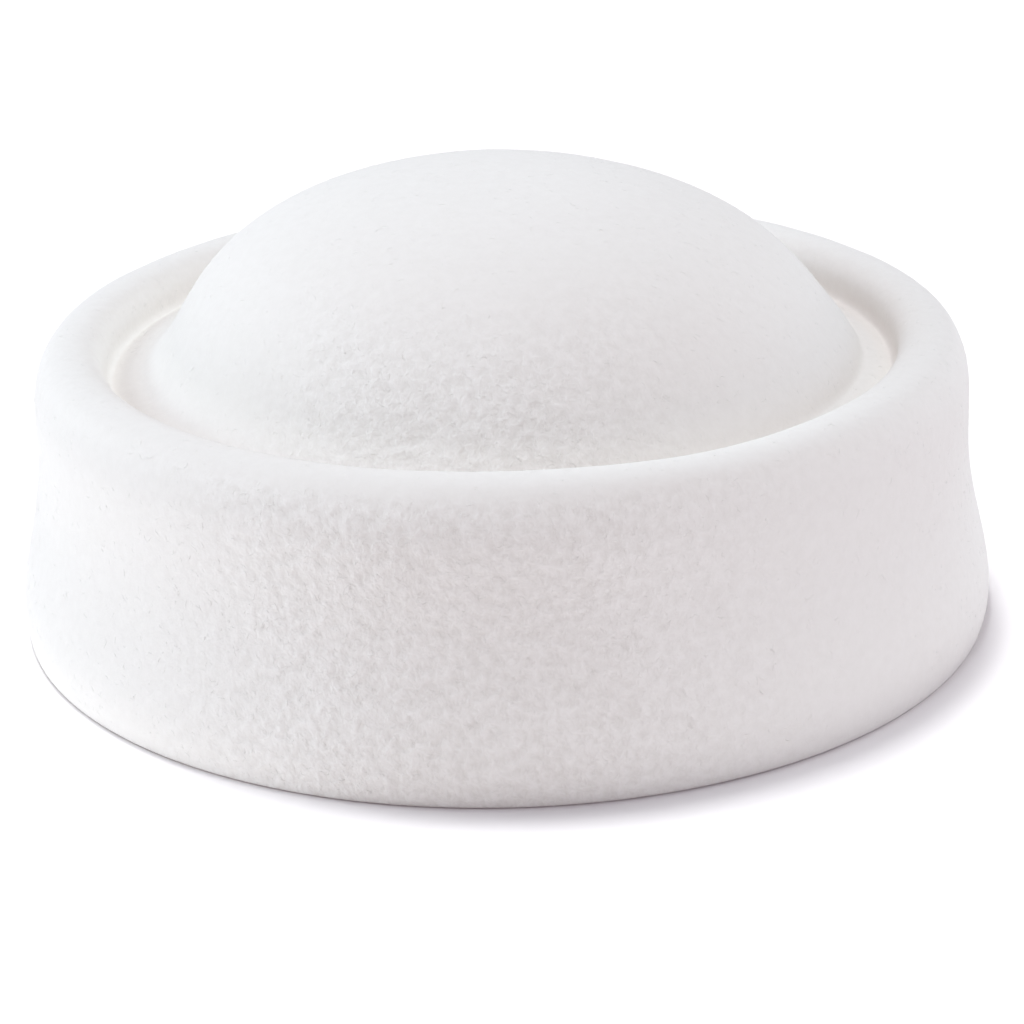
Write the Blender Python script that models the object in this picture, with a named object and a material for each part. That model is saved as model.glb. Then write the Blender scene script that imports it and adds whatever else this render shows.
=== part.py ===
"""Moulded wool-felt hat, blocked from one piece of felt.

One wall of felt runs up from the cut edge, over a soft rolled rim, down into a narrow groove, over a
small ledge and up into the domed crown. The hat is turned round the Z axis. It stands on its cut edge
at z = 0 with +Z up through the crown, and it is hollow and open from below. Lengths are in metres.
"""

import math
from typing import NamedTuple

import bmesh
import bpy
import numpy as np

MM = 0.001

# Driving dimensions
HEAD_GIRTH = 570 * MM
FELT_THICKNESS = 2.5 * MM
RIM_HEIGHT = 56.1 * MM
CROWN_HEIGHT = 85.6 * MM
LEDGE_HEIGHT = 49.7 * MM
GROOVE_FLOOR = 48.6 * MM

# The head fills the hat a little above the cut edge, where the felt's inner face has the head's girth.
WALL_RADIUS = HEAD_GIRTH / (2 * math.pi) + FELT_THICKNESS
RIM_RADIUS = WALL_RADIUS - 12.4 * MM
GROOVE_RADIUS = WALL_RADIUS - 18.2 * MM
LWALL_RADIUS = WALL_RADIUS - 22.0 * MM
CROWN_RADIUS = WALL_RADIUS - 27.4 * MM

# How finely the section is read, how far a straight facet may leave it, and the facets round the hat
FINE_STEPS = 24
FACET_SAG = 0.18 * MM
FACETS_ROUND = 64
WELD_DISTANCE = 0.00001

FELT_COLOUR = (0.86, 0.85, 0.84, 1.0)
FELT_ROUGHNESS = 0.95


class Station(NamedTuple):
    """A place that the felt's outer face passes through."""

    feature: str
    radius: float
    height: float


OUTER_FACE = (
    Station("spare felt below the cut", WALL_RADIUS + 0.2 * MM, -4.0 * MM),
    Station("cut edge", WALL_RADIUS + 1.1 * MM, 0.0),
    Station("flare", WALL_RADIUS + 1.6 * MM, 6.2 * MM),
    Station("lower wall", WALL_RADIUS + 0.4 * MM, 14.0 * MM),
    Station("middle wall", WALL_RADIUS - 1.6 * MM, 23.0 * MM),
    Station("waist", WALL_RADIUS - 3.0 * MM, 33.5 * MM),
    Station("upper wall", WALL_RADIUS - 3.2 * MM, 43.5 * MM),
    Station("rim's outer side", RIM_RADIUS + 8.0 * MM, RIM_HEIGHT - 4.7 * MM),
    Station("rim's outer shoulder", RIM_RADIUS + 5.7 * MM, RIM_HEIGHT - 1.4 * MM),
    Station("rim's top", RIM_RADIUS, RIM_HEIGHT),
    Station("rim's inner shoulder", RIM_RADIUS - 2.9 * MM, RIM_HEIGHT - 1.0 * MM),
    Station("inner wall", RIM_RADIUS - 4.8 * MM, RIM_HEIGHT - 4.2 * MM),
    Station("inner wall's foot", GROOVE_RADIUS + 0.7 * MM, GROOVE_FLOOR + 0.8 * MM),
    Station("groove's floor", GROOVE_RADIUS, GROOVE_FLOOR),
    Station("ledge's flank", GROOVE_RADIUS - 0.9 * MM, GROOVE_FLOOR + 0.2 * MM),
    Station("ledge's shoulder", LWALL_RADIUS + 1.9 * MM, LEDGE_HEIGHT - 0.5 * MM),
    Station("ledge's top", LWALL_RADIUS, LEDGE_HEIGHT),
    Station("ledge's inner side", LWALL_RADIUS - 1.7 * MM, LEDGE_HEIGHT + 0.3 * MM),
    Station("foot's hollow", CROWN_RADIUS + 2.3 * MM, LEDGE_HEIGHT + 1.6 * MM),
    Station("crown's foot", CROWN_RADIUS + 0.3 * MM, 54.0 * MM),
    Station("crown's side", CROWN_RADIUS - 5.6 * MM, 62.4 * MM),
    Station("crown's lower shoulder", CROWN_RADIUS - 11.6 * MM, 69.2 * MM),
    Station("crown's shoulder", CROWN_RADIUS - 18.5 * MM, 74.6 * MM),
    Station("crown's upper shoulder", CROWN_RADIUS - 33.3 * MM, CROWN_HEIGHT - 4.3 * MM),
    Station("crown's cap", CROWN_RADIUS - 50.0 * MM, CROWN_HEIGHT - 0.8 * MM),
    Station("crown's middle", 0.0, CROWN_HEIGHT),
)


def clear_scene():
    """Removes whatever objects the scene holds."""
    for old_object in list(bpy.data.objects):
        bpy.data.objects.remove(old_object, do_unlink=True)


def natural_spline(knots, values, samples):
    """Reads the natural cubic spline through values at knots, at each of samples."""
    gaps = np.diff(knots)
    slopes = np.diff(values) / gaps
    system = np.eye(len(knots))
    right_side = np.zeros(len(knots))
    for row in range(1, len(knots) - 1):
        system[row, row - 1 : row + 2] = (gaps[row - 1], 2 * (gaps[row - 1] + gaps[row]), gaps[row])
        right_side[row] = 6 * (slopes[row] - slopes[row - 1])
    bends = np.linalg.solve(system, right_side)
    span = np.clip(np.searchsorted(knots, samples, side="right") - 1, 0, len(gaps) - 1)
    after = samples - knots[span]
    before = knots[span + 1] - samples
    gap = gaps[span]
    curved = (bends[span] * before**3 + bends[span + 1] * after**3) / (6 * gap)
    from_left = (values[span] / gap - bends[span] * gap / 6) * before
    from_right = (values[span + 1] / gap - bends[span + 1] * gap / 6) * after
    return curved + from_left + from_right


def outer_curve():
    """The outer face's section as closely spaced points, from below the cut to the crown's middle.

    The stations are mirrored past the axis first, so that the crown is level where it crosses it.
    """
    half = [(station.radius, station.height) for station in OUTER_FACE]
    whole = np.array(half + [(-radius, height) for radius, height in reversed(half[:-1])])
    chords = np.hypot(*np.diff(whole, axis=0).T)
    knots = np.concatenate([[0.0], np.cumsum(chords)])
    samples = np.concatenate(
        [
            np.linspace(knots[index], knots[index + 1], FINE_STEPS, endpoint=False)
            for index in range(len(half) - 1)
        ]
        + [[knots[len(half) - 1]]]
    )
    radii = natural_spline(knots, whole[:, 0], samples)
    heights = natural_spline(knots, whole[:, 1], samples)
    radii[-1] = 0.0
    return np.stack([radii, heights], axis=1)


def inner_curve(outer):
    """The inner face's section: the outer one moved inwards by the felt's thickness.

    Where the outer face bends more tightly than the felt is thick, as over the ledge, moved points
    overlap. The ones that come nearer to the outer face than the felt's thickness are left out.
    """
    along = np.gradient(outer, axis=0)
    along /= np.linalg.norm(along, axis=1, keepdims=True)
    inwards = np.stack([-along[:, 1], along[:, 0]], axis=1)
    inner = outer + FELT_THICKNESS * inwards
    inner[-1, 0] = 0.0
    distances = np.linalg.norm(inner[:, np.newaxis] - outer[np.newaxis, :], axis=2)
    return inner[distances.min(axis=1) > 0.99 * FELT_THICKNESS]


def cut_at_ground(curve):
    """Cuts a section off level at z = 0 and keeps the part above."""
    first = int(np.argmax(curve[:, 1] > 0))
    below, above = curve[first - 1], curve[first]
    share = -below[1] / (above[1] - below[1])
    cut = below + share * (above - below)
    return np.vstack([(cut[0], 0.0), curve[first:]])


def thinned(curve):
    """Keeps only the points that straight facets need to stay close to the curve."""
    chord = curve[-1] - curve[0]
    across = np.array((-chord[1], chord[0])) / np.hypot(*chord)
    sags = np.abs((curve - curve[0]) @ across)
    deepest = int(np.argmax(sags))
    if sags[deepest] < FACET_SAG:
        return curve[[0, -1]]
    return np.vstack([thinned(curve[: deepest + 1])[:-1], thinned(curve[deepest:])])


def section_mesh():
    """The cut section as a chain of edges: crown to cut edge outside, and back up inside."""
    outer = outer_curve()
    inner = inner_curve(outer)
    down_outside = thinned(cut_at_ground(outer))[::-1]
    up_inside = thinned(cut_at_ground(inner))
    chain = np.vstack([down_outside, up_inside])
    section = bmesh.new()
    corners = [section.verts.new((radius, 0.0, height)) for radius, height in chain]
    for corner, following in zip(corners, corners[1:]):
        section.edges.new((corner, following))
    mesh = bpy.data.meshes.new("felt_body")
    section.to_mesh(mesh)
    section.free()
    return mesh


def felt_material():
    """Undyed white wool felt, as matt as it comes."""
    material = bpy.data.materials.new("white_wool_felt")
    material.use_nodes = True
    shader = material.node_tree.nodes["Principled BSDF"]
    shader.inputs["Base Color"].default_value = FELT_COLOUR
    shader.inputs["Roughness"].default_value = FELT_ROUGHNESS
    shader.inputs["Metallic"].default_value = 0.0
    material.diffuse_color = FELT_COLOUR
    return material


def build_felt_body():
    """The whole hat: its section turned once round the Z axis."""
    body = bpy.data.objects.new("felt_body", section_mesh())
    bpy.context.scene.collection.objects.link(body)
    body.data.materials.append(felt_material())
    turning = body.modifiers.new("turned round the axis", "SCREW")
    turning.axis = "Z"
    turning.angle = 2 * math.pi
    turning.steps = FACETS_ROUND
    turning.render_steps = FACETS_ROUND
    turning.use_merge_vertices = True
    turning.merge_threshold = WELD_DISTANCE
    turning.use_smooth_shade = True
    return body


def main():
    """Builds the hat in an empty scene."""
    clear_scene()
    build_felt_body()


main()
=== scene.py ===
"""Looks of a moulded white wool-felt hat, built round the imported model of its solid.

The hat was blocked from one piece of felt: a domed crown stands inside a broad rolled rim, with a small
ledge and a narrow groove between them, and the outer wall runs down to a cut edge. The felt is modelled
as one wall with its real thickness, uneven as hand blocking leaves it, and its nap as short tufts of
fibre that grow out of it. Lengths are in metres, and +Z is up.
"""

import logging
import math
from dataclasses import dataclass
from enum import Enum

import bpy
import numpy as np
from mathutils import Matrix, Vector, noise


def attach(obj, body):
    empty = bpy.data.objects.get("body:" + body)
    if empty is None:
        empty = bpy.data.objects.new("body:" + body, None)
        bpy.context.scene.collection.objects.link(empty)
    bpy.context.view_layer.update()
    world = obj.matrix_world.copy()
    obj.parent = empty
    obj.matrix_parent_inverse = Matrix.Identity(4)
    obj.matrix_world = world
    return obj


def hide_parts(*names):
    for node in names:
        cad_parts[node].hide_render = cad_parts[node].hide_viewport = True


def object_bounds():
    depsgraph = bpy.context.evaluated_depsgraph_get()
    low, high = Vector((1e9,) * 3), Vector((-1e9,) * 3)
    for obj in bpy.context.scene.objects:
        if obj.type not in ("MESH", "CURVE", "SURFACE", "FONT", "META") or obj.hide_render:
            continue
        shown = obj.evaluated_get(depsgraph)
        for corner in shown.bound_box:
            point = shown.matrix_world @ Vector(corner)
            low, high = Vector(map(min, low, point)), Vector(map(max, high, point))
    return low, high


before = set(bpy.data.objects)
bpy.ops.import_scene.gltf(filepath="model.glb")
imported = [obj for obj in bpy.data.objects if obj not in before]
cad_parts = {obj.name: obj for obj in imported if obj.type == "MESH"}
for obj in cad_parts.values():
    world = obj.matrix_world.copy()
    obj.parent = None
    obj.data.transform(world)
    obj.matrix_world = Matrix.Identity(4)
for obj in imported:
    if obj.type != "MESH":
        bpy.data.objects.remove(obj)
CAD_BOX = [list(corner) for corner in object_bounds()]

MM = 0.001
CAD_NODE = "felt_body"
LOG = logging.getLogger("felt_hat")

# Nearer to the axis than this, a direction away from it means nothing.
NEAR_AXIS = 1 * MM
# A face smaller than this, in square metres, has no direction of its own.
NO_AREA = 1e-15


def linear(hex_colour: str) -> tuple[float, float, float, float]:
    """Turns an sRGB hex colour to linear light.

    Args:
        hex_colour: the colour as "#RRGGBB".

    Returns:
        Linear red, green and blue, and an alpha of 1.
    """
    channels = [int(hex_colour[place : place + 2], 16) / 255 for place in (1, 3, 5)]
    lit = [c / 12.92 if c <= 0.04045 else ((c + 0.055) / 1.055) ** 2.4 for c in channels]
    return (*lit, 1.0)


def per_metre(size_mm: float) -> float:
    """The texture scale that gives a pattern details of a real size in millimetres."""
    return 1 / (size_mm * MM)


def smoothstep(low: float, high: float, value: np.ndarray) -> np.ndarray:
    """Rises from 0 at low to 1 at high with level ends."""
    share = np.clip((value - low) / (high - low), 0, 1)
    return share * share * (3 - 2 * share)


def add_node(
    tree: bpy.types.NodeTree, kind: str, settings: dict | None = None, inputs: dict | None = None
) -> bpy.types.Node:
    """Adds one node with its settings and links.

    Args:
        tree: the node tree that gets the node.
        kind: Blender's type name of the node.
        settings: the node's own options, by attribute name.
        inputs: a value, or the output socket that feeds it, by the input's name or number.

    Returns:
        The new node.
    """
    node = tree.nodes.new(kind)
    for option, value in (settings or {}).items():
        setattr(node, option, value)
    for socket, value in (inputs or {}).items():
        if isinstance(value, bpy.types.NodeSocket):
            tree.links.new(value, node.inputs[socket])
        else:
            node.inputs[socket].default_value = value
    return node


def empty_material(name: str) -> tuple[bpy.types.Material, bpy.types.NodeTree]:
    """Makes a material with no nodes in it yet.

    Args:
        name: the material's name.

    Returns:
        The material and its node tree.
    """
    material = bpy.data.materials.new(name)
    material.use_nodes = True
    material.node_tree.nodes.clear()
    return material, material.node_tree


@dataclass(frozen=True)
class Handling:
    """Where blocking and hands have smoothed the nap: at the sides, over the top and along the rim.

    Attributes:
        left: share of the radius, towards -X, at which the smoothing starts and is full.
        right: the same towards +X.
        top: height at which it starts and is full, in metres.
        rim: height at which it starts and is full on the rim.
        rim_inside: radius at which the rim's smoothing starts and is full.
        smoothing: share of the relief and of the loose fibre that it takes away.
    """

    left: tuple[float, float] = (0.32, 0.78)
    right: tuple[float, float] = (0.05, 0.68)
    top: tuple[float, float] = (60 * MM, 79 * MM)
    rim: tuple[float, float] = (51.5 * MM, 55.5 * MM)
    rim_inside: tuple[float, float] = (72 * MM, 77 * MM)
    smoothing: float = 0.8

    def nap_left(self, points: np.ndarray) -> np.ndarray:
        """Tells how much of the nap is left.

        Args:
            points: places on the felt.

        Returns:
            A share for each place, from 0 to 1.
        """
        radii = np.hypot(points[:, 0], points[:, 1])
        aside = points[:, 0] / np.maximum(radii, NEAR_AXIS)
        handled = np.max(
            [
                smoothstep(*self.left, -aside),
                smoothstep(*self.right, aside),
                smoothstep(*self.top, points[:, 2]),
                smoothstep(*self.rim, points[:, 2]) * smoothstep(*self.rim_inside, radii),
            ],
            axis=0,
        )
        return 1 - self.smoothing * handled

    def nap_left_socket(
        self, tree: bpy.types.NodeTree, place: bpy.types.NodeSocket
    ) -> bpy.types.NodeSocket:
        """Adds nodes that work out in a material how much of the nap is left.

        Args:
            tree: the material's node tree.
            place: the socket that gives the place on the felt.

        Returns:
            The socket that gives how much of the nap is left.
        """
        axes = add_node(tree, "ShaderNodeSeparateXYZ", None, {"Vector": place}).outputs
        level = add_node(
            tree, "ShaderNodeVectorMath", {"operation": "MULTIPLY"}, {0: place, 1: (1.0, 1.0, 0.0)}
        ).outputs[0]
        radius = add_node(tree, "ShaderNodeVectorMath", {"operation": "LENGTH"}, {0: level}).outputs[1]
        aside = add_node(
            tree, "ShaderNodeMath", {"operation": "DIVIDE"}, {0: axes["X"], 1: radius}
        ).outputs[0]
        by_left, by_right, over_top, high, outside = (
            add_node(
                tree,
                "ShaderNodeMapRange",
                {"interpolation_type": "SMOOTHSTEP"},
                {"Value": value, "From Min": start, "From Max": full},
            ).outputs[0]
            for value, (start, full) in (
                (aside, (-self.left[0], -self.left[1])),
                (aside, self.right),
                (axes["Z"], self.top),
                (axes["Z"], self.rim),
                (radius, self.rim_inside),
            )
        )
        handled = add_node(
            tree, "ShaderNodeMath", {"operation": "MULTIPLY"}, {0: high, 1: outside}
        ).outputs[0]
        for place_handled in (by_left, by_right, over_top):
            handled = add_node(
                tree, "ShaderNodeMath", {"operation": "MAXIMUM"}, {0: handled, 1: place_handled}
            ).outputs[0]
        left = add_node(
            tree, "ShaderNodeMath", {"operation": "MULTIPLY_ADD"}, {0: handled, 1: -self.smoothing, 2: 1.0}
        )
        return left.outputs[0]


@dataclass(frozen=True)
class Wool:
    """Bleached wool, as the felt and the loose fibre on it share it.

    Its rough, scaly fibres scatter light all ways, so the eye sees no highlight, only a faint pale sheen
    where it looks along the surface.

    Attributes:
        roughness: typical of wool that hasn't been pressed.
        ior: index of refraction of keratin.
        gloss: strength of the highlight, which the fibres' scales break up.
        fuzz: strength of the grazing sheen.
        fuzz_spread: how widely the sheen spreads.
    """

    roughness: float = 0.97
    ior: float = 1.55
    gloss: float = 0.2
    fuzz: float = 0.05
    fuzz_spread: float = 0.5

    def add_shader(self, tree: bpy.types.NodeTree, surface: dict) -> None:
        """Adds the wool's shader and the material's output.

        Args:
            tree: the material's node tree.
            surface: the colour, and the relief if it has any, by the name of the shader's input.
        """
        wool = {
            "Roughness": self.roughness,
            "IOR": self.ior,
            "Specular IOR Level": self.gloss,
            "Sheen Weight": self.fuzz,
            "Sheen Roughness": self.fuzz_spread,
        }
        shader = add_node(tree, "ShaderNodeBsdfPrincipled", None, surface | wool)
        add_node(tree, "ShaderNodeOutputMaterial", None, {"Surface": shader.outputs["BSDF"]})


@dataclass(frozen=True)
class WoolFelt(Wool):
    """Bleached wool felt, hot-blocked over a wooden form and left unpressed on its face.

    The eye sees a dead-matt white, small soft lumps with darker pits between them, and a tangle of short
    locks of fibre that lie every way and catch the light.

    Attributes:
        name: the material's name.
        lit_fibre_hex: colour of the fibres that lie on top, the felt's white with painted light.
        pit_shade_hex: colour of the felt down between them, painted shade for the little light that gets down
            there.
        lit_fibre_level: sum of the lumps' and locks' patterns at which only the lit fibre colour shows.
        pit_shade_level: the same at which only the painted shade of the pits shows.
        lump_mm: distance between the lumps that fulling leaves. Finer lumps ride on them.
        lump_relief_mm: height of the lumps' whole pattern, of which the felt uses the middle part.
        lump_layers: how many layers of finer lumps ride on the broad ones.
        lump_fineness: how strong the finer lumps are, where 0.5 makes them as steep as the broad ones.
        fibre_mm: distance between neighbouring locks of fibre. Single fibres are 0.03 mm, too fine to
            show, so a ridge stands for a lock of them.
        lock_mm: length of a lock.
        lock_sway: how far locks bend with the lumps, as a share of the distance between lumps.
        lock_relief_mm: height of the locks' whole pattern.
        lock_turns: the ways that locks lie, each as turns about X, Y and Z in degrees.
        handling: where hands have smoothed the felt.
    """

    name: str = "bleached_wool_felt"
    # The felt's white, with painted light on the fibres on top and painted shade down in the pits.
    lit_fibre_hex: str = "#FBF8F4"
    pit_shade_hex: str = "#EEEAE5"
    lit_fibre_level: float = 1.42
    pit_shade_level: float = 0.88
    lump_mm: float = 2.0
    lump_relief_mm: float = 0.4
    lump_layers: float = 3.0
    lump_fineness: float = 0.42
    fibre_mm: float = 0.6
    lock_mm: float = 2.4
    lock_sway: float = 0.8
    lock_relief_mm: float = 0.1
    lock_turns: tuple[tuple[float, float, float], ...] = (
        (0, 15, 10),
        (0, 55, -50),
        (20, -50, 55),
        (0, 85, 20),
        (0, -20, 100),
    )
    handling: Handling = Handling()

    def material(self) -> bpy.types.Material:
        """Makes the felt's material.

        Returns:
            The material, with its colour, relief and sheen set.
        """
        material, tree = empty_material(self.name)
        place = add_node(tree, "ShaderNodeTexCoord").outputs["Object"]
        lumps = add_node(
            tree,
            "ShaderNodeTexNoise",
            None,
            {
                "Vector": place,
                "Scale": per_metre(self.lump_mm),
                "Detail": self.lump_layers,
                "Roughness": self.lump_fineness,
            },
        )
        locks = self.locks(tree, place, lumps.outputs["Color"])
        nap_left = self.handling.nap_left_socket(tree, place)
        colour = self.colour(tree, lumps.outputs[0], locks, nap_left)
        normal = self.relief(tree, lumps.outputs[0], locks, nap_left)
        self.add_shader(tree, {"Base Color": colour, "Normal": normal})
        return material

    def locks(
        self, tree: bpy.types.NodeTree, place: bpy.types.NodeSocket, sway: bpy.types.NodeSocket
    ) -> bpy.types.NodeSocket:
        """Adds the locks of fibre: streaks that lie several ways, with the topmost one showing.

        Args:
            tree: the material's node tree.
            place: the socket that gives the place on the felt.
            sway: the socket that bends the locks.

        Returns:
            The socket that gives the topmost lock's height, from 0 to 1.
        """
        swayed = add_node(
            tree,
            "ShaderNodeVectorMath",
            {"operation": "MULTIPLY_ADD"},
            {0: sway, 1: (self.lock_sway * self.lump_mm * MM,) * 3, 2: place},
        )
        topmost = None
        for turn in self.lock_turns:
            along = add_node(
                tree,
                "ShaderNodeMapping",
                {"vector_type": "TEXTURE"},
                {
                    "Vector": swayed.outputs[0],
                    "Rotation": tuple(math.radians(angle) for angle in turn),
                    "Scale": (self.lock_mm * MM, self.fibre_mm * MM, self.fibre_mm * MM),
                },
            )
            lock = add_node(
                tree, "ShaderNodeTexNoise", None, {"Vector": along.outputs[0], "Scale": 1.0, "Detail": 0.0}
            ).outputs[0]
            if topmost is not None:
                lock = add_node(
                    tree, "ShaderNodeMath", {"operation": "MAXIMUM"}, {0: topmost, 1: lock}
                ).outputs[0]
            topmost = lock
        return topmost

    def relief(
        self,
        tree: bpy.types.NodeTree,
        lumps: bpy.types.NodeSocket,
        locks: bpy.types.NodeSocket,
        nap_left: bpy.types.NodeSocket,
    ) -> bpy.types.NodeSocket:
        """Adds lumps and locks together as relief.

        Args:
            tree: the material's node tree.
            lumps: the socket with the lumps' height.
            locks: the socket with the locks' height.
            nap_left: the socket that tells how much of the nap is left.

        Returns:
            The socket that gives the surface's direction.
        """
        lock_height = add_node(
            tree, "ShaderNodeMath", {"operation": "MULTIPLY"}, {0: locks, 1: self.lock_relief_mm}
        )
        height = add_node(
            tree,
            "ShaderNodeMath",
            {"operation": "MULTIPLY_ADD"},
            {0: lumps, 1: self.lump_relief_mm, 2: lock_height.outputs[0]},
        )
        bump = add_node(
            tree, "ShaderNodeBump", None, {"Strength": nap_left, "Distance": MM, "Height": height.outputs[0]}
        )
        return bump.outputs["Normal"]

    def colour(
        self,
        tree: bpy.types.NodeTree,
        lumps: bpy.types.NodeSocket,
        locks: bpy.types.NodeSocket,
        nap_left: bpy.types.NodeSocket,
    ) -> bpy.types.NodeSocket:
        """Adds the colour, with painted shade and light: pits are painted darker, as little light gets down
        into them, and the raised locks lighter.

        Args:
            tree: the material's node tree.
            lumps: the socket with the lumps' height.
            locks: the socket with the locks' height.
            nap_left: the socket that tells how much of the nap is left.

        Returns:
            The socket that gives the colour.
        """
        height = add_node(tree, "ShaderNodeMath", {"operation": "ADD"}, {0: lumps, 1: locks})
        # The depth is counted from the middle, so that where the nap is smoothed the colour tends to the mean
        # of the lit fibre and the painted shade of the pits.
        depth = add_node(
            tree,
            "ShaderNodeMapRange",
            None,
            {
                "Value": height.outputs[0],
                "From Min": self.lit_fibre_level,
                "From Max": self.pit_shade_level,
                "To Min": -0.5,
                "To Max": 0.5,
            },
        )
        # Painted shade in the pits and painted light on the raised locks, less where the nap is smoothed.
        pit_shade = add_node(
            tree, "ShaderNodeMath", {"operation": "MULTIPLY_ADD"}, {0: depth.outputs[0], 1: nap_left, 2: 0.5}
        )
        colour = add_node(
            tree,
            "ShaderNodeMix",
            {"data_type": "RGBA"},
            {"Factor": pit_shade.outputs[0], 6: linear(self.lit_fibre_hex), 7: linear(self.pit_shade_hex)},
        )
        return colour.outputs[2]


@dataclass(frozen=True)
class LooseFibre(Wool):
    """Loose wool fibre that stands out of the felt.

    The eye sees it a little whiter than the felt, as light reaches it from all sides, so its colour is the
    felt's wool made whiter as painted light.

    Attributes:
        name: the material's name.
        lit_fibre_hex: the fibre's colour, whiter than the felt's as painted light.
    """

    name: str = "loose_wool_fibre"
    # Whiter than the felt's fibres, as painted light for the light that reaches it from all sides.
    lit_fibre_hex: str = "#FDFBF8"

    def material(self) -> bpy.types.Material:
        """Makes the fibre's material.

        Returns:
            The material.
        """
        material, tree = empty_material(self.name)
        self.add_shader(tree, {"Base Color": linear(self.lit_fibre_hex)})
        return material


@dataclass(frozen=True)
class WhiteCard:
    """A sheet of matt white card, as a studio table is laid with.

    The eye sees plain white, with a grey only where the hat all but touches it.

    Attributes:
        name: the material's name.
        card_hex: the card's colour.
        roughness: as matt as card can be.
        gloss: strength of the highlight, of which uncoated card has none.
    """

    name: str = "white_card"
    card_hex: str = "#F7F7F8"
    roughness: float = 1.0
    gloss: float = 0.0

    def material(self) -> bpy.types.Material:
        """Makes the card's material.

        Returns:
            The material.
        """
        material, tree = empty_material(self.name)
        shader = add_node(
            tree,
            "ShaderNodeBsdfPrincipled",
            None,
            {
                "Base Color": linear(self.card_hex),
                "Roughness": self.roughness,
                "Specular IOR Level": self.gloss,
            },
        )
        add_node(tree, "ShaderNodeOutputMaterial", None, {"Surface": shader.outputs["BSDF"]})
        return material


@dataclass(frozen=True)
class Station:
    """A place that the felt's outer face passes through, by its radius and height."""

    feature: str
    radius: float
    height: float


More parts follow.
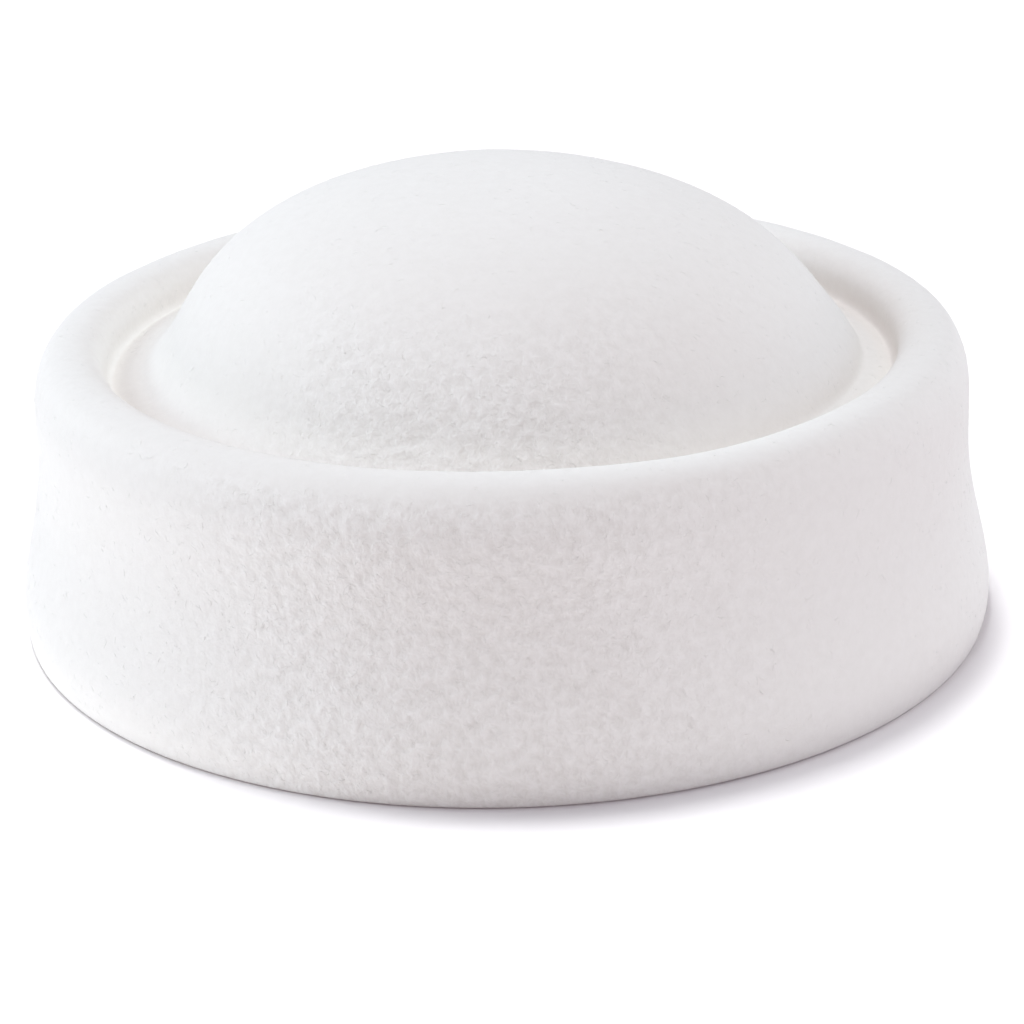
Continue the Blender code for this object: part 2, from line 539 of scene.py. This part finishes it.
@dataclass
class FeltSection:
    """The felt wall cut through along the hat's axis.

    Attributes:
        head_girth: girth of the head, and so of the felt's inner face a little above the cut edge.
        thickness: the felt's thickness.
        crown_height: height of the crown's middle.
        rim_height: height of the rim's top.
        ledge_height: height of the ledge's top.
        groove_floor: height of the groove's floor.
        edge_softness: radius of the cut edge's corners.
        corner_points: points round each of those corners.
        fine_steps: points read between two stations.
        overlap_share: an inner point nearer to the outer face than this share of the thickness lies in
            an overlap.
    """

    head_girth: float = 570 * MM
    thickness: float = 2.5 * MM
    crown_height: float = CAD_BOX[1][2]
    rim_height: float = 56.1 * MM
    ledge_height: float = 49.7 * MM
    groove_floor: float = 48.6 * MM
    edge_softness: float = 0.45 * MM
    corner_points: int = 5
    fine_steps: int = 24
    overlap_share: float = 0.99

    @property
    def wall_radius(self) -> float:
        """Radius of the outer face where the head fills the hat, a little above the cut edge."""
        return self.head_girth / (2 * math.pi) + self.thickness

    @property
    def rim_radius(self) -> float:
        """Radius of the rim's top."""
        return self.wall_radius - 12.4 * MM

    @property
    def groove_radius(self) -> float:
        """Radius of the groove's floor."""
        return self.wall_radius - 18.2 * MM

    @property
    def ledge_radius(self) -> float:
        """Radius of the ledge's top."""
        return self.wall_radius - 22.0 * MM

    @property
    def crown_radius(self) -> float:
        """Radius of the crown's foot."""
        return self.wall_radius - 27.4 * MM

    def stations(self) -> list[Station]:
        """Lists the outer face's stations from the crown's middle down to below the cut.

        Returns:
            The stations in order.
        """
        wall, rim, groove = self.wall_radius, self.rim_radius, self.groove_radius
        ledge, crown = self.ledge_radius, self.crown_radius
        return [
            Station("crown's middle", 0.0, self.crown_height),
            Station("crown's cap", crown - 50.0 * MM, self.crown_height - 0.8 * MM),
            Station("crown's upper shoulder", crown - 33.3 * MM, self.crown_height - 4.3 * MM),
            Station("crown's shoulder", crown - 18.5 * MM, 74.6 * MM),
            Station("crown's lower shoulder", crown - 11.6 * MM, 69.2 * MM),
            Station("crown's side", crown - 5.6 * MM, 62.4 * MM),
            Station("crown's foot", crown + 0.3 * MM, 54.0 * MM),
            Station("foot's hollow", crown + 2.3 * MM, self.ledge_height + 1.6 * MM),
            Station("ledge's inner side", ledge - 1.7 * MM, self.ledge_height + 0.3 * MM),
            Station("ledge's top", ledge, self.ledge_height),
            Station("ledge's shoulder", ledge + 1.9 * MM, self.ledge_height - 0.5 * MM),
            Station("ledge's flank", groove - 0.9 * MM, self.groove_floor + 0.2 * MM),
            Station("groove's floor", groove, self.groove_floor),
            Station("inner wall's foot", groove + 0.7 * MM, self.groove_floor + 0.8 * MM),
            Station("inner wall", rim - 4.8 * MM, self.rim_height - 4.2 * MM),
            Station("rim's inner shoulder", rim - 2.9 * MM, self.rim_height - 1.0 * MM),
            Station("rim's top", rim, self.rim_height),
            Station("rim's outer shoulder", rim + 5.7 * MM, self.rim_height - 1.4 * MM),
            Station("rim's outer side", rim + 8.0 * MM, self.rim_height - 4.7 * MM),
            Station("upper wall", wall - 3.2 * MM, 43.5 * MM),
            Station("waist", wall - 3.0 * MM, 33.5 * MM),
            Station("middle wall", wall - 1.6 * MM, 23.0 * MM),
            Station("lower wall", wall + 0.4 * MM, 14.0 * MM),
            Station("flare", wall + 1.6 * MM, 6.2 * MM),
            Station("cut edge", wall + 1.1 * MM, 0.0),
            Station("spare felt below the cut", wall + 0.2 * MM, -4.0 * MM),
        ]

    @staticmethod
    def natural_spline(knots: np.ndarray, values: np.ndarray, samples: np.ndarray) -> np.ndarray:
        """Reads the natural cubic spline through values at knots.

        Args:
            knots: rising places of the values.
            values: what the spline passes through.
            samples: places to read it at.

        Returns:
            The spline's value at each sample.
        """
        gaps = np.diff(knots)
        slopes = np.diff(values) / gaps
        system = np.eye(len(knots))
        right_side = np.zeros(len(knots))
        for row in range(1, len(knots) - 1):
            system[row, row - 1 : row + 2] = (gaps[row - 1], 2 * (gaps[row - 1] + gaps[row]), gaps[row])
            right_side[row] = 6 * (slopes[row] - slopes[row - 1])
        bends = np.linalg.solve(system, right_side)
        span = np.clip(np.searchsorted(knots, samples, side="right") - 1, 0, len(gaps) - 1)
        after, before, gap = samples - knots[span], knots[span + 1] - samples, gaps[span]
        curved = (bends[span] * before**3 + bends[span + 1] * after**3) / (6 * gap)
        from_left = (values[span] / gap - bends[span] * gap / 6) * before
        from_right = (values[span + 1] / gap - bends[span + 1] * gap / 6) * after
        return curved + from_left + from_right

    def outer_face(self) -> np.ndarray:
        """Reads the outer face as closely spaced points, from the crown's middle to below the cut.

        Returns:
            One row of radius and height for each point.
        """
        half = [(station.radius, station.height) for station in self.stations()]
        whole = np.array([(-radius, height) for radius, height in reversed(half[1:])] + half)
        knots = np.concatenate([[0.0], np.cumsum(np.hypot(*np.diff(whole, axis=0).T))])
        middle = len(half) - 1
        samples = np.concatenate(
            [
                np.linspace(knots[index], knots[index + 1], self.fine_steps, endpoint=False)
                for index in range(middle, len(knots) - 1)
            ]
            + [[knots[-1]]]
        )
        radii = self.natural_spline(knots, whole[:, 0], samples)
        heights = self.natural_spline(knots, whole[:, 1], samples)
        radii[0] = 0.0
        return np.stack([radii, heights], axis=1)

    def inner_face(self, outer: np.ndarray) -> np.ndarray:
        """Moves the outer face inwards by the felt's thickness, without the overlaps at tight bends.

        Args:
            outer: the outer face's points.

        Returns:
            The inner face's points, in the same order.
        """
        along = np.gradient(outer, axis=0)
        along /= np.linalg.norm(along, axis=1, keepdims=True)
        inner = outer + self.thickness * np.stack([along[:, 1], -along[:, 0]], axis=1)
        inner[0, 0] = 0.0
        distances = np.linalg.norm(inner[:, np.newaxis] - outer[np.newaxis, :], axis=2)
        return inner[distances.min(axis=1) > self.overlap_share * self.thickness]

    @staticmethod
    def above(face: np.ndarray, level: float) -> np.ndarray:
        """Cuts a face off at a level and keeps the part above.

        Args:
            face: points of radius and height, going down.
            level: the height of the cut.

        Returns:
            The points above, and the one on the cut.
        """
        first_below = int(np.argmax(face[:, 1] < level))
        upper, lower = face[first_below - 1], face[first_below]
        share = (upper[1] - level) / (upper[1] - lower[1])
        return np.vstack([face[:first_below], upper + share * (lower - upper)])

    def wall(self) -> np.ndarray:
        """Joins outer face, soft-cornered cut and inner face into one line round the felt's section.

        Returns:
            The line's points, from the crown's middle outside to the crown's middle inside.
        """
        outer = self.outer_face()
        inner = self.inner_face(outer)
        soft = self.edge_softness
        outside = self.above(outer, soft)
        inside = self.above(inner, soft)
        quarter = np.linspace(0, math.pi / 2, self.corner_points)
        outer_corner = outside[-1] - (soft, 0) + soft * np.stack([np.cos(quarter), -np.sin(quarter)], axis=1)
        inner_corner = inside[-1] + (soft, 0) + soft * np.stack([-np.sin(quarter), -np.cos(quarter)], axis=1)
        return np.vstack([outside, outer_corner[1:], inner_corner[:-1], inside[::-1]])


@dataclass(frozen=True)
class Wave:
    """A smooth unevenness of the felt, by the size of its swells and their height, in millimetres."""

    swell_mm: float
    height_mm: float


@dataclass
class FeltBody:
    """The whole hat as one felt wall, uneven as hand blocking leaves it.

    Attributes:
        section: the wall's section.
        finish: the felt's finish.
        name: the piece's name.
        columns: mesh columns round the hat where it is widest.
        most_halvings: how often that number may be halved towards the axis.
        outer_spacing: mesh spacing down the outer face.
        inner_spacing: mesh spacing up the inner face.
        least_step: shorter steps of the section's line are dropped.
        bend_points: neighbouring points over which the line's bend is averaged.
        bend_share: spacing at a bend, as a share of the bend's radius.
        waves: unevenness of the felt, from broad to fine.
        level_edge: height by which the unevenness has grown to its full size, from none at the cut edge.
        lean: how far the crown leans towards -X, in metres for each metre up.
        upright_height: height at which the leaning crown is still on the axis.
        rim_swell: how far the rim stands higher at one place of its round.
        rim_swell_foot: height at which the swell starts, as a share of the rim's height.
        rim_swell_azimuth: degrees round from +X towards +Y of that place.
        rim_swell_spread: degrees over which the swell dies away.
    """

    section: FeltSection
    finish: WoolFelt
    name: str = "moulded_felt"
    columns: int = 448
    most_halvings: int = 5
    outer_spacing: float = 1.35 * MM
    inner_spacing: float = 2.6 * MM
    least_step: float = 0.02 * MM
    bend_points: int = 5
    bend_share: float = 0.28
    waves: tuple[Wave, ...] = (Wave(34, 0.30), Wave(11, 0.07), Wave(4.5, 0.03))
    level_edge: float = 3 * MM
    lean: float = 0.0914
    upright_height: float = 66.1 * MM
    rim_swell: float = 0.65 * MM
    rim_swell_foot: float = 0.4
    rim_swell_azimuth: float = 252
    rim_swell_spread: float = 36

    def ring_places(self) -> tuple[np.ndarray, np.ndarray]:
        """Places the mesh's rings along the wall's section, closer together where it bends.

        Returns:
            Each ring's radius and height, and the section's outward direction there.
        """
        line = self.section.wall()
        steps = np.hypot(*np.diff(line, axis=0).T)
        line = line[np.concatenate([[True], steps > self.least_step])]
        steps = np.hypot(*np.diff(line, axis=0).T)
        travelled = np.concatenate([[0.0], np.cumsum(steps)])
        heading = np.unwrap(np.arctan2(*np.diff(line, axis=0).T[::-1]))
        bend = np.abs(np.gradient(heading)) / steps
        bend = np.convolve(bend, np.ones(self.bend_points) / self.bend_points, mode="same")
        bend = np.minimum(bend, 1 / self.section.edge_softness)
        turn = int(np.argmin(line[:, 1]))
        plain = np.where(np.arange(len(steps)) < turn, self.outer_spacing, self.inner_spacing)
        wanted = np.concatenate([[0.0], np.cumsum(steps * np.maximum(1 / plain, bend / self.bend_share))])
        rings = np.interp(np.linspace(0, wanted[-1], int(wanted[-1]) + 1), wanted, travelled)
        places = np.stack([np.interp(rings, travelled, line[:, axis]) for axis in (0, 1)], axis=1)
        along = np.gradient(places, axis=0)
        outwards = np.stack([-along[:, 1], along[:, 0]], axis=1)
        outwards /= np.linalg.norm(outwards, axis=1, keepdims=True)
        outwards[0], outwards[-1] = (0.0, 1.0), (0.0, -1.0)
        return places, outwards

    def columns_at(self, radius: float) -> int:
        """Halves the number of columns each time the hat gets half as wide, towards the axis."""
        halvings = math.floor(math.log2(self.section.wall_radius / 2 / max(radius, NEAR_AXIS)) + 1)
        return self.columns >> min(max(0, halvings), self.most_halvings)

    def uneven(self, place: np.ndarray) -> float:
        """How far the felt stands out at a place, from all its waves.

        Args:
            place: a point on the felt.

        Returns:
            The height over the even shape, in metres.
        """
        return sum(
            wave.height_mm * MM * noise.noise(Vector(place) * per_metre(wave.swell_mm)) for wave in self.waves
        )

    def shaped(self, even: np.ndarray, outwards: np.ndarray) -> np.ndarray:
        """Makes even points uneven and leans the crown.

        Args:
            even: points of the hat as turned round its axis.
            outwards: the direction out of the felt at each.

        Returns:
            The points as hand blocking leaves them, with the cut edge still level.
        """
        radii = np.hypot(even[:, 0], even[:, 1])
        swell = np.array([self.uneven(place) for place in even])
        free = smoothstep(0.0, self.level_edge, even[:, 2])
        points = even + outwards * (swell * free)[:, np.newaxis]
        crown_share = 1 - smoothstep(self.section.crown_radius, self.section.ledge_radius, radii)
        points[:, 0] -= crown_share * self.lean * (even[:, 2] - self.upright_height)
        azimuths = np.degrees(np.arctan2(even[:, 1], even[:, 0]))
        away = (azimuths - self.rim_swell_azimuth + 180) % 360 - 180
        rim_height = self.section.rim_height
        rim_share = smoothstep(self.rim_swell_foot * rim_height, rim_height, even[:, 2])
        rim_share *= smoothstep(self.section.groove_radius, self.section.rim_radius, radii)
        points[:, 2] += self.rim_swell * rim_share * np.exp(-((away / self.rim_swell_spread) ** 2))
        return points

    def mesh(self) -> bpy.types.Mesh:
        """Turns the section round the axis into one closed mesh.

        Returns:
            The felt's mesh.
        """
        places, outwards = self.ring_places()
        even, directions, rings, start = [], [], [], 0
        for index, ((radius, height), (out, up)) in enumerate(zip(places, outwards)):
            count = 1 if index in (0, len(places) - 1) else self.columns_at(radius)
            angles = np.arange(count) * 2 * math.pi / count
            across = np.stack([np.cos(angles), np.sin(angles)], axis=1)
            even.append(np.column_stack([radius * across, np.full(count, height)]))
            directions.append(np.column_stack([out * across, np.full(count, up)]))
            rings.append(range(start, start + count))
            start += count
        points = self.shaped(np.vstack(even), np.vstack(directions))
        faces = [face for upper, lower in zip(rings, rings[1:]) for face in self.band(upper, lower)]
        mesh = bpy.data.meshes.new(self.name)
        mesh.from_pydata(points.tolist(), [], faces)
        mesh.shade_smooth()
        return mesh

    @staticmethod
    def band(upper: range, lower: range) -> list[tuple[int, ...]]:
        """Lists the faces between two neighbouring rings.

        One of the rings may be the single vertex in the middle, or have half as many vertices as the
        other. Then three triangles stand over each two of the finer ring's edges.

        Args:
            upper: the first ring's vertex numbers.
            lower: the next ring's vertex numbers.

        Returns:
            The faces, facing out of the felt.
        """
        few, many = len(upper), len(lower)
        if few > many:
            return [tuple(reversed(face)) for face in FeltBody.band(lower, upper)]
        if few == 1:
            return [(upper[0], lower[place], lower[(place + 1) % many]) for place in range(many)]
        if few == many:
            return [
                (upper[place], lower[place], lower[(place + 1) % many], upper[(place + 1) % few])
                for place in range(many)
            ]
        faces = []
        for place in range(few):
            above, next_above = upper[place], upper[(place + 1) % few]
            below, between, next_below = (lower[(2 * place + step) % many] for step in range(3))
            faces += [(above, below, between), (next_above, between, next_below)]
            faces.append((above, between, next_above))
        return faces

    def build(self) -> bpy.types.Object:
        """Builds the felt and puts it in the solid's place.

        Returns:
            The hat's body.
        """
        body = bpy.data.objects.new(self.name, self.mesh())
        bpy.context.scene.collection.objects.link(body)
        body.data.materials.append(self.finish.material())
        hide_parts(CAD_NODE)
        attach(body, "root")
        return body


class Zone(Enum):
    """A stretch of the felt's face that has a nap piece of its own."""

    CROWN = "crown"
    RIM = "rim"
    UPPER_WALL = "upper_wall"
    LOWER_WALL = "lower_wall"


@dataclass
class Nap:
    """Locks of fibre that stand a little out of the felt on one zone.

    Each lock is a thin closed spindle with a bend in the middle. A single wool fibre is 0.03 mm thick, too
    fine to show, so a lock stands for a few that cling together.

    Attributes:
        zone: where the locks grow.
        body: the felt that they grow out of.
        section: the felt's section, for the zone's limits.
        finish: the fibre's finish.
        handling: where hands have smoothed the nap away.
        seed: start of the random draws.
        wall_outwards: share of a face's direction that points from or to the axis, over which it is wall.
        wall_upwards: share of its direction that points up, over which it is rim and no longer wall.
        groove_margin: how far the uneven felt may lie under the groove's even floor.
        locks_per_mm2: how densely they stand.
        most_locks: upper limit on their number.
        lowest_root: height of the lowest roots, so that no lock reaches the table.
        length: shortest and longest lock.
        half_width: thinnest and thickest lock, at its middle, from its own axis out.
        curl: how far a lock's middle may lie aside, as a share of its length.
        rise: how high a lock's tip may stand over the felt.
        middle_share: how high its middle may stand, as a share of the rise.
        middle_draw: lowest and highest draw for the middle.
        tip_draw: the same for the tip, which may dip back into the felt.
        spin_start: any fixed direction, from which the way that each lock lies is counted.
    """

    zone: Zone
    body: bpy.types.Object
    section: FeltSection
    finish: LooseFibre
    handling: Handling
    seed: int
    wall_outwards: float = 0.2
    wall_upwards: float = 0.3
    groove_margin: float = 1 * MM
    locks_per_mm2: float = 0.4
    most_locks: int = 32000
    lowest_root: float = 1.5 * MM
    length: tuple[float, float] = (0.8 * MM, 2.4 * MM)
    half_width: tuple[float, float] = (0.015 * MM, 0.035 * MM)
    curl: float = 0.35
    rise: float = 0.12 * MM
    middle_share: float = 0.6
    middle_draw: tuple[float, float] = (0.15, 1.0)
    tip_draw: tuple[float, float] = (-0.4, 1.0)
    spin_start: tuple[float, float, float] = (0.3, 0.5, 0.81)

    def in_zone(self, centres: np.ndarray, normals: np.ndarray) -> np.ndarray:
        """Tells which faces of the felt are outer faces in this zone.

        Args:
            centres: the faces' middles.
            normals: the faces' directions.

        Returns:
            One truth value for each face.
        """
        section = self.section
        radii = np.hypot(centres[:, 0], centres[:, 1])
        heights = centres[:, 2]
        outwards = (normals[:, :2] * centres[:, :2]).sum(axis=1) / np.maximum(radii, NEAR_AXIS)
        upwards = normals[:, 2]
        outer_wall = (outwards > self.wall_outwards) & (radii > section.rim_radius)
        steep_outer_wall = outer_wall & (upwards < self.wall_upwards)
        over_rim = (upwards > 0) & (radii > section.ledge_radius)
        inside_rim = (radii > section.groove_radius) & (radii < section.rim_radius)
        inner_wall = (outwards < -self.wall_outwards) & inside_rim
        above_groove = heights > section.groove_floor - self.groove_margin
        middle = section.rim_height / 2
        return {
            Zone.CROWN: (upwards > 0) & (radii < section.ledge_radius),
            Zone.RIM: above_groove & (over_rim | inner_wall) & ~steep_outer_wall,
            Zone.UPPER_WALL: steep_outer_wall & (heights > middle),
            Zone.LOWER_WALL: outer_wall & (heights <= middle) & (heights > self.lowest_root),
        }[self.zone]

    def roots(self, draw: np.random.Generator) -> tuple[np.ndarray, np.ndarray]:
        """Scatters the locks' roots over the zone, as many to each patch as its area asks.

        Args:
            draw: the random draws.

        Returns:
            The roots and the felt's direction at each.
        """
        mesh = self.body.data
        mesh.calc_loop_triangles()
        corners = np.zeros(len(mesh.loop_triangles) * 3, np.int32)
        mesh.loop_triangles.foreach_get("vertices", corners)
        points = np.zeros(len(mesh.vertices) * 3, np.float32)
        mesh.vertices.foreach_get("co", points)
        triangles = points.reshape(-1, 3)[corners.reshape(-1, 3)].astype(float)
        across = np.cross(triangles[:, 1] - triangles[:, 0], triangles[:, 2] - triangles[:, 0])
        areas = np.linalg.norm(across, axis=1) / 2
        normals = across / np.maximum(2 * areas, NO_AREA)[:, np.newaxis]
        chosen = self.in_zone(triangles.mean(axis=1), normals)
        triangles, areas, normals = triangles[chosen], areas[chosen], normals[chosen]
        count = min(self.most_locks, int(self.locks_per_mm2 * areas.sum() / MM**2))
        picked = draw.choice(len(areas), size=count, p=areas / areas.sum())
        shares = draw.dirichlet((1.0, 1.0, 1.0), size=count)
        roots = (triangles[picked] * shares[:, :, np.newaxis]).sum(axis=1)
        left = draw.uniform(size=count) < self.handling.nap_left(roots)
        return roots[left], normals[picked][left]

    def mesh(self) -> bpy.types.Mesh:
        """Builds every lock of the zone into one mesh.

        Returns:
            The nap's mesh.
        """
        draw = np.random.default_rng(self.seed)
        roots, normals = self.roots(draw)
        count = len(roots)
        spin = draw.uniform(0, 2 * math.pi, count)[:, np.newaxis]
        level = np.cross(normals, self.spin_start)
        level /= np.linalg.norm(level, axis=1, keepdims=True)
        ahead = np.cos(spin) * level + np.sin(spin) * np.cross(normals, level)
        aside = np.cross(normals, ahead)
        length = draw.uniform(*self.length, count)[:, np.newaxis]
        half_width = draw.uniform(*self.half_width, count)[:, np.newaxis]
        curl = draw.uniform(-self.curl, self.curl, count)[:, np.newaxis] * length
        lift = draw.uniform(*self.middle_draw, count)[:, np.newaxis] * self.rise
        tip_lift = draw.uniform(*self.tip_draw, count)[:, np.newaxis] * self.rise
        start = roots - length / 2 * ahead - half_width * normals
        middle = roots + curl * aside + lift * self.middle_share * normals
        tip = roots + length / 2 * ahead + tip_lift * normals
        turns = [math.pi / 2 + corner * 2 * math.pi / 3 for corner in range(3)]
        ring = [
            middle + half_width * (math.cos(turn) * aside + math.sin(turn) * normals) for turn in turns
        ]
        corners = np.stack([start, *ring, tip], axis=1)
        # Corner 0 of a lock is its start, 1 to 3 go round its middle and 4 is its tip.
        lock_faces = np.array([(0, 2, 1), (0, 3, 2), (0, 1, 3), (4, 1, 2), (4, 2, 3), (4, 3, 1)])
        first_corners = np.arange(count)[:, np.newaxis, np.newaxis] * corners.shape[1]
        vertices = corners.reshape(-1, 3)
        faces = (first_corners + lock_faces).reshape(-1, 3)
        mesh = bpy.data.meshes.new(f"nap_{self.zone.value}")
        mesh.from_pydata(vertices.tolist(), [], faces.tolist())
        mesh.shade_smooth()
        return mesh

    def build(self) -> bpy.types.Object:
        """Builds the zone's nap and lets it ride with the hat.

        Returns:
            The nap piece.
        """
        mesh = self.mesh()
        nap = bpy.data.objects.new(mesh.name, mesh)
        bpy.context.scene.collection.objects.link(nap)
        nap.data.materials.append(self.finish.material())
        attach(nap, "root")
        return nap


@dataclass(frozen=True)
class Softbox:
    """A rectangular studio light, by where it stands round the hat.

    Attributes:
        name: the light's name.
        azimuth: degrees round from +X towards +Y.
        elevation: degrees up.
        power: its power in watts.
        tint: its colour, as linear red, green and blue.
        side: width and height of its square front.
        distance: how far it stands from the hat.
    """

    name: str
    azimuth: float
    elevation: float
    power: float
    tint: tuple[float, float, float] = (1.0, 1.0, 1.0)
    side: float = 0.6
    distance: float = 1.4


@dataclass
class Studio:
    """A white table in a white room, with soft lights round it.

    Attributes:
        hat: the hat's pieces.
        finish: the table's finish.
        table_side: length of the table's side.
        room_tint: colour of the light that comes from all round.
        room_strength: its strength.
        aim: the point that the lights face.
        hat_softboxes: the lights that flags keep off the table, so that it has only a thin shadow.
        table_softboxes: the lights that flags keep off the hat.
    """

    hat: list[bpy.types.Object]
    finish: WhiteCard = WhiteCard()
    table_side: float = 12.0
    room_tint: tuple[float, float, float] = (1.0, 0.78, 0.90)
    room_strength: float = 0.233
    aim: tuple[float, float, float] = (0.0, 0.0, 40 * MM)
    hat_softboxes: tuple[Softbox, ...] = (
        Softbox("left_softbox", azimuth=180, elevation=28, power=7.0, tint=(0.87, 1.05, 1.18)),
        Softbox("left_low_softbox", azimuth=180, elevation=12, power=2.15, tint=(0.97, 1.10, 1.04)),
        Softbox("right_softbox", azimuth=345, elevation=10, power=2.95, tint=(0.90, 1.05, 1.16)),
        Softbox("front_softbox", azimuth=240, elevation=20, power=1.4, tint=(0.94, 1.10, 1.07)),
        Softbox("back_softbox", azimuth=60, elevation=30, power=2.62, tint=(0.74, 1.12, 1.24)),
        Softbox("top_softbox", azimuth=0, elevation=80, power=9.38, tint=(0.99, 1.04, 1.05)),
    )
    table_softboxes: tuple[Softbox, ...] = (
        Softbox("table_softbox", azimuth=180, elevation=83, power=6.0, tint=(0.93, 1.02, 1.05)),
        Softbox("table_lamp", azimuth=118, elevation=77, power=50.0, side=0.5, distance=3.0),
        Softbox("table_key", azimuth=162, elevation=35, power=3.2),
        Softbox("table_fill", azimuth=30, elevation=40, power=4.4),
    )

    def table(self) -> bpy.types.Object:
        """Lays the white table under the hat.

        Returns:
            The table's top.
        """
        half = self.table_side / 2
        mesh = bpy.data.meshes.new("white_table")
        corners = [(-half, -half, 0), (half, -half, 0), (half, half, 0), (-half, half, 0)]
        mesh.from_pydata(corners, [], [(0, 1, 2, 3)])
        mesh.materials.append(self.finish.material())
        top = bpy.data.objects.new("white_table", mesh)
        bpy.context.scene.collection.objects.link(top)
        return top

    def light(self, box: Softbox) -> bpy.types.Object:
        """Hangs one softbox, facing the hat.

        Args:
            box: the light to hang.

        Returns:
            The light.
        """
        lamp = bpy.data.lights.new(box.name, "AREA")
        lamp.shape, lamp.size = "SQUARE", box.side
        lamp.energy, lamp.color = box.power, box.tint
        hung = bpy.data.objects.new(box.name, lamp)
        bpy.context.scene.collection.objects.link(hung)
        aside, up = math.radians(box.azimuth), math.radians(box.elevation)
        direction = Vector((math.cos(up) * math.cos(aside), math.cos(up) * math.sin(aside), math.sin(up)))
        hung.location = Vector(self.aim) + box.distance * direction
        hung.rotation_euler = (-direction).to_track_quat("-Z", "Y").to_euler()
        return hung

    def build(self) -> None:
        """Sets up the table, the room's light and the softboxes, each with its flags."""
        top = self.table()
        world = bpy.data.worlds.new("white_room")
        world.use_nodes = True
        walls = world.node_tree.nodes["Background"]
        walls.inputs["Color"].default_value = (*self.room_tint, 1.0)
        walls.inputs["Strength"].default_value = self.room_strength
        bpy.context.scene.world = world
        for name, pieces, softboxes in (
            ("hat", self.hat, self.hat_softboxes),
            ("table", [top], self.table_softboxes),
        ):
            lit = bpy.data.collections.new(name)
            for piece in pieces:
                lit.objects.link(piece)
            for box in softboxes:
                self.light(box).light_linking.receiver_collection = lit


@dataclass
class ProductCamera:
    """A long lens that looks down on the hat from in front.

    Attributes:
        aim: the point in the middle of the picture.
        distance: from that point to the camera.
        elevation: degrees that the camera looks down by.
        roll: degrees that the picture leans by, its right side up.
        lens_mm: focal length.
        sensor_mm: width of the square sensor.
    """

    aim: tuple[float, float, float] = (1.39 * MM, 0.0, 16.46 * MM)
    distance: float = 615.2 * MM
    elevation: float = 22.17
    roll: float = 1.47
    lens_mm: float = 109.46
    sensor_mm: float = 36.0

    def build(self) -> bpy.types.Object:
        """Sets up the camera and makes it the scene's own.

        Returns:
            The camera.
        """
        down, lean = math.radians(self.elevation), math.radians(self.roll)
        backwards = Vector((0, -math.cos(down), math.sin(down)))
        upright = Matrix((Vector((1, 0, 0)), backwards.cross(Vector((1, 0, 0))), backwards)).transposed()
        lens = bpy.data.cameras.new("product_camera")
        lens.lens, lens.sensor_width = self.lens_mm, self.sensor_mm
        camera = bpy.data.objects.new("product_camera", lens)
        bpy.context.scene.collection.objects.link(camera)
        camera.matrix_world = Matrix.Translation(Vector(self.aim) + self.distance * backwards) @ (
            upright @ Matrix.Rotation(-lean, 3, "Z")
        ).to_4x4()
        bpy.context.scene.camera = camera
        return camera


def report(piece: bpy.types.Object) -> None:
    """Logs a piece's name and number of triangles."""
    triangles = sum(len(face.vertices) - 2 for face in piece.data.polygons)
    LOG.info("%s: %d triangles", piece.name, triangles)


def main() -> None:
    """Builds the hat, its nap, the studio and the camera."""
    logging.basicConfig(level=logging.INFO, format="%(name)s: %(message)s")
    bpy.context.scene.view_settings.view_transform = "Standard"
    section = FeltSection()
    felt = WoolFelt()
    body = FeltBody(section, felt).build()
    fibre = LooseFibre()
    naps = [Nap(zone, body, section, fibre, felt.handling, seed).build() for seed, zone in enumerate(Zone)]
    hat = [body, *naps]
    for piece in hat:
        report(piece)
    Studio(hat).build()
    ProductCamera().build()


if __name__ == "__main__":
    main()
